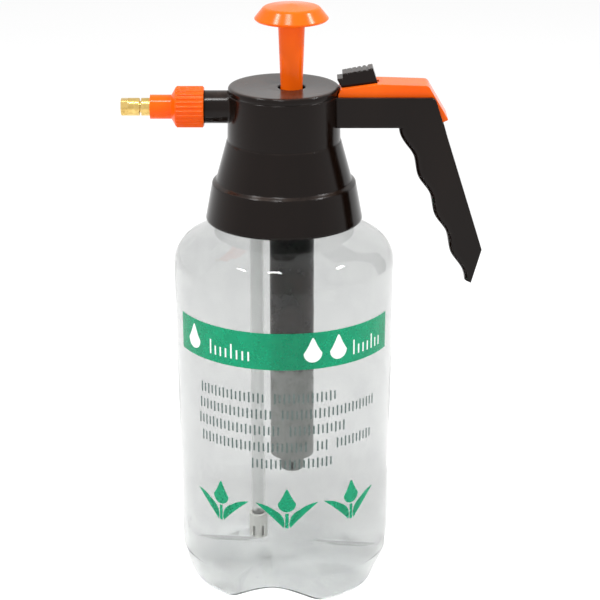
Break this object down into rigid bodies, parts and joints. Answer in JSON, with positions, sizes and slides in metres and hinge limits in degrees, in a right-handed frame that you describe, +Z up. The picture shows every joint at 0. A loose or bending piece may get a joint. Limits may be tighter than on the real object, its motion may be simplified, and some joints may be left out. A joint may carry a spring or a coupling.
{
  "type": "hand pump sprayer",
  "caption": "Hand pump sprayer: clear bottle on feet, screw-on head with piston pump, pistol grip, thumb lever with sliding lock, and a threaded brass cone nozzle.",
  "frame": {"origin": "on the bottle's axis, in the plane that its feet stand on", "axes": "+Z up along the bottle, -X towards the nozzle, +X towards the grip, +Y completes a right-handed frame"},
  "size_m": [0.164, 0.102, 0.277],
  "materials": {
    "clear_pet": "clear glossy blow-moulded PET",
    "black_plastic": "semi-gloss moulded black plastic",
    "orange_plastic": "gloss moulded orange plastic",
    "barrel_plastic": "smooth dark grey plastic",
    "natural_plastic": "milky translucent polyethylene",
    "white_plastic": "plain moulded plastic",
    "brass": "turned brass",
    "rubber": "black nitrile rubber",
    "steel": "stainless steel"
  },
  "bodies": {
    "bottle_body": {"bottle": "clear_pet"},
    "head": {"head_housing": "black_plastic", "bottle_gasket": "rubber", "pump_cap": "black_plastic", "pump_barrel": "barrel_plastic", "barrel_o_ring": "rubber", "check_valve": "rubber", "valve_cage": "barrel_plastic", "valve_housing": "white_plastic", "gland_o_ring": "rubber", "valve_seat": "white_plastic", "valve_spring": "steel", "dip_tube": "natural_plastic", "dip_filter": "white_plastic", "nozzle_nut": "orange_plastic", "spigot_gasket": "rubber", "nozzle_base": "brass", "swirl_core": "white_plastic", "handle": "black_plastic", "trigger_pin": "steel"},
    "plunger": {"knob": "orange_plastic", "pump_rod": "orange_plastic", "piston": "white_plastic", "piston_cup": "rubber", "piston_screw": "steel"},
    "lever": {"trigger_lever": "orange_plastic"},
    "lock": {"lock_slider": "black_plastic"},
    "valve": {"valve_stem": "white_plastic", "valve_seal": "rubber"},
    "tip_carrier": {"tip_o_ring": "rubber"},
    "tip": {"nozzle_tip": "brass"}
  },
  "joints": [
    {"name": "head_lift", "type": "slide", "parent": "bottle_body", "child": "head", "axis": [0, 0, 1], "range_m": [0, 0.2]},
    {"name": "plunger_stroke", "type": "slide", "parent": "head", "child": "plunger", "axis": [0, 0, 1], "range_m": [-0.0275, 0.065]},
    {"name": "lever_press", "type": "hinge", "parent": "head", "child": "lever", "pos_m": [0.03, 0, 0.23253], "axis": [0, 1, 0], "range_deg": [0, 7], "stiffness_Nm_per_rad": 0.4, "springref_deg": -5.73},
    {"name": "lock_slide", "type": "slide", "parent": "lever", "child": "lock", "axis": [0.9909, 0, 0.1349], "range_m": [0, 0.004]},
    {"name": "valve_travel", "type": "slide", "parent": "head", "child": "valve", "axis": [-1, 0, 0], "range_m": [0, 0.0015], "deforming": ["valve_spring"]},
    {"name": "tip_feed", "type": "slide", "parent": "head", "child": "tip_carrier", "axis": [-1, 0, 0], "range_m": [-0.00038, 0.00112]},
    {"name": "tip_turn", "type": "hinge", "parent": "tip_carrier", "child": "tip", "pos_m": [-0.07, 0, 0.22983], "axis": [-1, 0, 0], "range_deg": [-180, 540]}
  ],
  "couplings": [
    {"joint": "valve_travel", "follows": "lever_press", "m_per_rad": 0.0115},
    {"joint": "tip_turn", "follows": "tip_feed", "rad_per_m": 8377.6}
  ]
}
